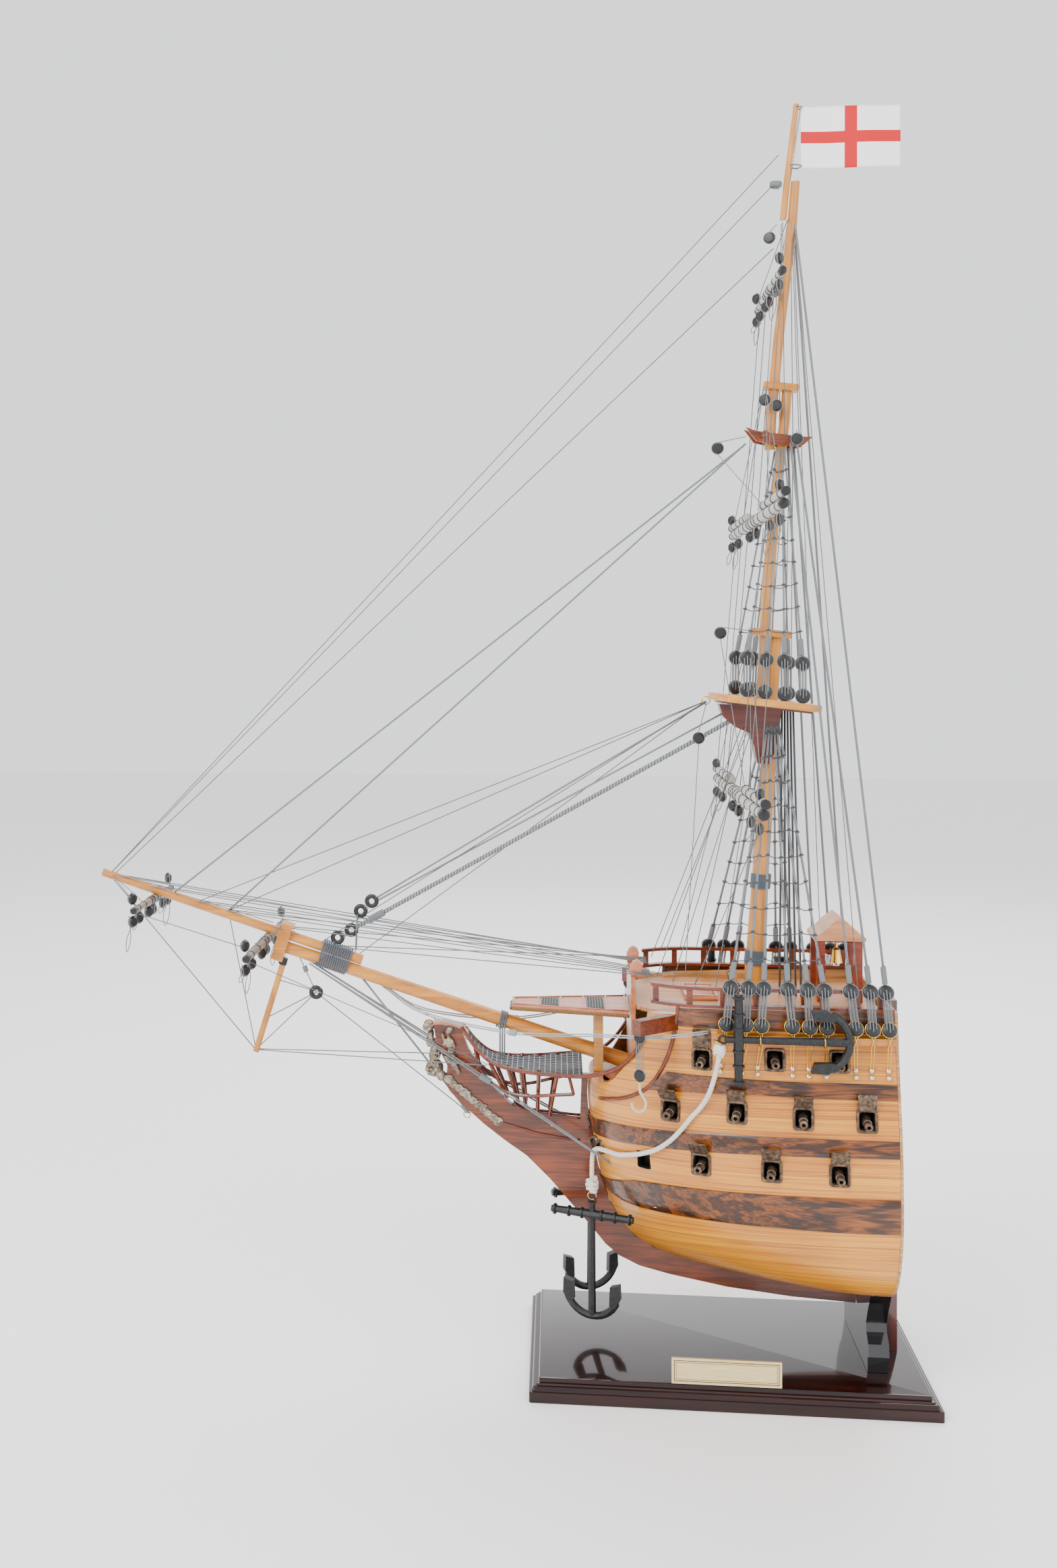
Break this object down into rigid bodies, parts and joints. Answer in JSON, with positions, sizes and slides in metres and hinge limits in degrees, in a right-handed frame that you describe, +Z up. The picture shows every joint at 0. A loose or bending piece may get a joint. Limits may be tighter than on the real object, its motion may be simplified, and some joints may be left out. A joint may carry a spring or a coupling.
{
  "type": "model ship bow section",
  "caption": "Bow section of a wooden man-of-war model with its foremast, bowsprit, gun ports, hanging anchors and rigging, standing on a moulded plinth.",
  "frame": {"origin": "centre of the plinth's underside", "axes": "+Z up the mast, the bow and bowsprit point along -X, the port side faces -Y"},
  "size_m": [0.7276, 0.4028, 1.104],
  "materials": {
    "lacquer": "very dark red-brown piano lacquer, mirror gloss",
    "brass": "polished brass",
    "ebony": "black gloss lacquer",
    "mahogany": "reddish mahogany, oiled",
    "pine": "light orange-tan planking, satin",
    "rosewood": "dark figured rosewood, glossy",
    "boxwood": "pale yellow wood, satin",
    "pear": "pinkish pear wood, satin",
    "iron": "dark graphite casting",
    "tube": "painted pale grey with black bands",
    "bronze": "brown aged bronze",
    "rope": "twisted cotton line",
    "net": "dark lattice with white lines",
    "cloth": "printed cotton"
  },
  "bodies": {
    "ship": {"base_plinth": "lacquer", "plinth_plate": "brass", "cradle_board": "ebony", "mount_post": "mahogany", "aft_bulkhead": "pine", "keel_stem": "mahogany", "hull_shell": "pine", "forecastle_deck": "pine", "beakhead": "pear", "side_rail_port": "rosewood", "side_rail_starboard": "rosewood", "channel_port": "boxwood", "channel_starboard": "boxwood", "cathead_port": "mahogany", "cathead_starboard": "mahogany", "marines_walk": "pear", "bowsprit": "boxwood", "jibboom": "boxwood", "bowsprit_cap": "boxwood", "dolphin_striker": "boxwood", "spritsail_yard": "tube", "sprit_topsail_yard": "tube", "lower_mast": "boxwood", "topmast": "boxwood", "topgallant_mast": "boxwood", "flag_pole": "boxwood", "foretop": "boxwood", "lower_cap": "boxwood", "crosstrees": "mahogany", "topmast_cap": "boxwood", "lower_yard": "tube", "topsail_yard": "tube", "topgallant_yard": "tube", "flag": "cloth", "head_rail_port": "mahogany", "head_rail_starboard": "mahogany", "head_grating": "net", "figurehead": "bronze", "belfry": "mahogany", "anchor_cable_port": "rope", "anchor_cable_starboard": "rope", "sheet_anchor_port": "iron", "sheet_anchor_starboard": "iron"},
    "bell": {"bell": "brass"},
    "lid_middle_1_port": {"lid_middle_1_port": "bronze"},
    "lid_middle_2_port": {"lid_middle_2_port": "bronze"},
    "lid_middle_3_port": {"lid_middle_3_port": "bronze"},
    "lid_middle_4_port": {"lid_middle_4_port": "bronze"},
    "lid_lower_1_port": {"lid_lower_1_port": "bronze"},
    "lid_lower_2_port": {"lid_lower_2_port": "bronze"},
    "lid_lower_3_port": {"lid_lower_3_port": "bronze"},
    "bower_anchor_port": {"bower_anchor_port": "iron"},
    "lid_middle_1_starboard": {"lid_middle_1_starboard": "bronze"},
    "lid_middle_2_starboard": {"lid_middle_2_starboard": "bronze"},
    "lid_middle_3_starboard": {"lid_middle_3_starboard": "bronze"},
    "lid_middle_4_starboard": {"lid_middle_4_starboard": "bronze"},
    "lid_lower_1_starboard": {"lid_lower_1_starboard": "bronze"},
    "lid_lower_2_starboard": {"lid_lower_2_starboard": "bronze"},
    "lid_lower_3_starboard": {"lid_lower_3_starboard": "bronze"},
    "bower_anchor_starboard": {"bower_anchor_starboard": "iron"}
  },
  "joints": [
    {"name": "bell_lug", "type": "hinge", "parent": "ship", "child": "bell", "pos_m": [0.0985, 0, 0.368], "axis": [0, 1, 0], "range_deg": [-30, 30]},
    {"name": "lid_middle_1_port_hinge", "type": "hinge", "parent": "ship", "child": "lid_middle_1_port", "pos_m": [-0.05129, -0.08783, 0.24985], "axis": [-0.9028, 0.43, 0], "range_deg": [-63, 33]},
    {"name": "lid_middle_2_port_hinge", "type": "hinge", "parent": "ship", "child": "lid_middle_2_port", "pos_m": [0.00181, -0.10583, 0.25435], "axis": [-0.9732, 0.2299, 0], "range_deg": [-70, 26]},
    {"name": "lid_middle_3_port_hinge", "type": "hinge", "parent": "ship", "child": "lid_middle_3_port", "pos_m": [0.05424, -0.1143, 0.25335], "axis": [-0.9962, 0.0875, 0], "range_deg": [-65, 31]},
    {"name": "lid_middle_4_port_hinge", "type": "hinge", "parent": "ship", "child": "lid_middle_4_port", "pos_m": [0.10449, -0.11586, 0.25335], "axis": [-1, 0.0025, 0], "range_deg": [-94, 2]},
    {"name": "lid_lower_1_port_hinge", "type": "hinge", "parent": "ship", "child": "lid_lower_1_port", "pos_m": [-0.02715, -0.10141, 0.20935], "axis": [-0.9236, 0.3834, 0], "range_deg": [-64, 32]},
    {"name": "lid_lower_2_port_hinge", "type": "hinge", "parent": "ship", "child": "lid_lower_2_port", "pos_m": [0.02844, -0.11776, 0.21085], "axis": [-0.9822, 0.1878, 0], "range_deg": [-66, 30]},
    {"name": "lid_lower_3_port_hinge", "type": "hinge", "parent": "ship", "child": "lid_lower_3_port", "pos_m": [0.08193, -0.12337, 0.21085], "axis": [-0.9998, 0.0217, 0], "range_deg": [-74, 22]},
    {"name": "bower_anchor_port_ring", "type": "hinge", "parent": "ship", "child": "bower_anchor_port", "pos_m": [-0.114, -0.034, 0.1475], "axis": [0.342, 0.9397, 0], "range_deg": [-8, 8]},
    {"name": "lid_middle_1_starboard_hinge", "type": "hinge", "parent": "ship", "child": "lid_middle_1_starboard", "pos_m": [-0.05129, 0.08783, 0.24985], "axis": [0.9028, 0.43, 0], "range_deg": [-63, 33]},
    {"name": "lid_middle_2_starboard_hinge", "type": "hinge", "parent": "ship", "child": "lid_middle_2_starboard", "pos_m": [0.00181, 0.10583, 0.25435], "axis": [0.9732, 0.2299, 0], "range_deg": [-70, 26]},
    {"name": "lid_middle_3_starboard_hinge", "type": "hinge", "parent": "ship", "child": "lid_middle_3_starboard", "pos_m": [0.05424, 0.1143, 0.25335], "axis": [0.9962, 0.0875, 0], "range_deg": [-65, 31]},
    {"name": "lid_middle_4_starboard_hinge", "type": "hinge", "parent": "ship", "child": "lid_middle_4_starboard", "pos_m": [0.10449, 0.11586, 0.25335], "axis": [1, 0.0025, 0], "range_deg": [-94, 2]},
    {"name": "lid_lower_1_starboard_hinge", "type": "hinge", "parent": "ship", "child": "lid_lower_1_starboard", "pos_m": [-0.02715, 0.10141, 0.20935], "axis": [0.9236, 0.3834, 0], "range_deg": [-64, 32]},
    {"name": "lid_lower_2_starboard_hinge", "type": "hinge", "parent": "ship", "child": "lid_lower_2_starboard", "pos_m": [0.02844, 0.11776, 0.21085], "axis": [0.9822, 0.1878, 0], "range_deg": [-66, 30]},
    {"name": "lid_lower_3_starboard_hinge", "type": "hinge", "parent": "ship", "child": "lid_lower_3_starboard", "pos_m": [0.08193, 0.12337, 0.21085], "axis": [0.9998, 0.0217, 0], "range_deg": [-74, 22]},
    {"name": "bower_anchor_starboard_ring", "type": "hinge", "parent": "ship", "child": "bower_anchor_starboard", "pos_m": [-0.114, 0.034, 0.1475], "axis": [-0.342, 0.9397, 0], "range_deg": [-8, 8]}
  ]
}
